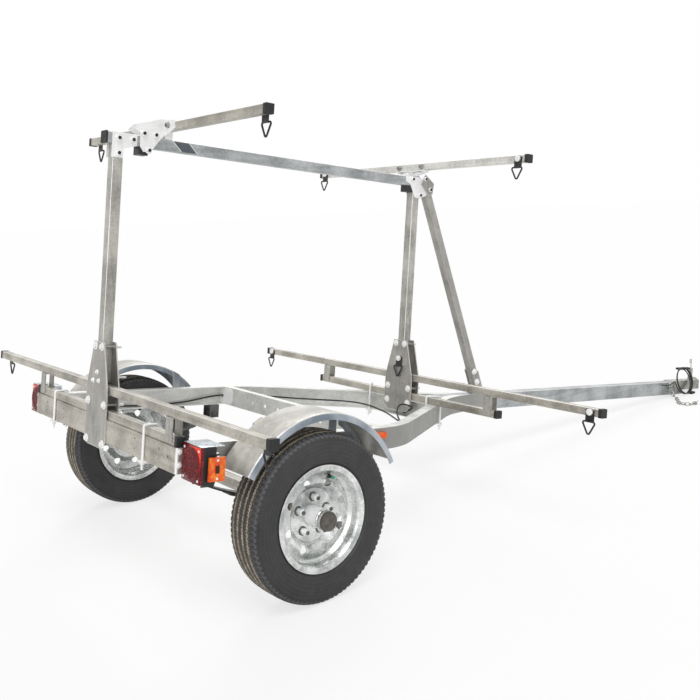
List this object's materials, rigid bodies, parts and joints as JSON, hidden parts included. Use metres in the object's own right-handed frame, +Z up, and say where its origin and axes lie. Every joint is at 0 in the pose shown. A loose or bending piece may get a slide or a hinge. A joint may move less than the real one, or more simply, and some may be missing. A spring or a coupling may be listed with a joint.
{
  "type": "boat rack trailer",
  "caption": "Galvanised single-axle trailer with crossbars on a low frame and a raised rack on masts, for carrying small boats.",
  "frame": {"origin": "middle of the plan on the floor, with the trailer resting on both tyres and the underside of its coupler", "axes": "+X forward to the coupler along the floor, +Y to the trailer's left, +Z up"},
  "size_m": [3.9034, 1.981, 1.5372],
  "materials": {
    "amber_lens": "clear amber moulding",
    "black_plastic": "moulded, dull",
    "black_steel": "black paint",
    "cable": "black cable jacket",
    "galvanised": "hot-dip galvanised, dull, with faint grey spangle",
    "red_lens": "clear red moulding over a fine grid",
    "tyre": "black rubber",
    "zinc": "bright zinc plate"
  },
  "bodies": {
    "trailer": {"axle_beam": "galvanised", "bar_bridge_front": "galvanised", "bar_clamp_rear": "zinc", "base_bar_front": "galvanised", "base_bar_rear": "galvanised", "beam_blocks": "black_steel", "brace_foot": "galvanised", "brace_plates_top": "galvanised", "corner_gussets_front": "zinc", "corner_gussets_rear": "zinc", "coupler_body": "zinc", "coupler_latch": "zinc", "diagonal_brace": "galvanised", "end_caps_lower": "black_plastic", "end_caps_upper": "black_plastic", "fender_left": "galvanised", "fender_right": "galvanised", "frame_clamps_front": "zinc", "frame_clamps_rear": "zinc", "front_cross_member": "galvanised", "front_markers": "amber_lens", "harness_coil": "cable", "harness_lead": "cable", "harness_plug": "black_plastic", "latch_grip": "black_plastic", "leaf_spring_left": "black_steel", "leaf_spring_right": "black_steel", "load_bar_lower_front": "galvanised", "load_bar_lower_rear": "galvanised", "load_bar_upper_front": "galvanised", "load_bar_upper_rear": "galvanised", "mast_front": "galvanised", "mast_plates_front": "galvanised", "mast_plates_rear": "galvanised", "mast_rear": "galvanised", "middle_cross_member": "galvanised", "middle_member_plates": "zinc", "rail_wiring": "cable", "rear_cross_member": "galvanised", "risers_front": "galvanised", "risers_rear": "galvanised", "safety_chains": "zinc", "side_marker_left": "amber_lens", "side_marker_right": "amber_lens", "side_rail_left": "galvanised", "side_rail_right": "galvanised", "tail_light_housing_left": "black_plastic", "tail_light_housing_right": "black_plastic", "tail_light_lens_left": "red_lens", "tail_light_lens_right": "red_lens", "tie_down_rings_lower": "black_steel", "tie_down_rings_upper": "black_steel", "tongue_tube": "galvanised", "top_beam": "galvanised"},
    "wheel_left": {"hub_left": "zinc", "wheel_rim_left": "zinc", "tyre_left": "tyre"},
    "wheel_right": {"hub_right": "zinc", "wheel_rim_right": "zinc", "tyre_right": "tyre"}
  },
  "joints": [
    {"name": "wheel_spin_left", "type": "hinge", "parent": "trailer", "child": "wheel_left", "pos_m": [-1.51344, 0.624, 0.265], "axis": [0, 1, 0], "continuous": true},
    {"name": "wheel_spin_right", "type": "hinge", "parent": "trailer", "child": "wheel_right", "pos_m": [-1.51344, -0.624, 0.265], "axis": [0, 1, 0], "continuous": true}
  ]
}
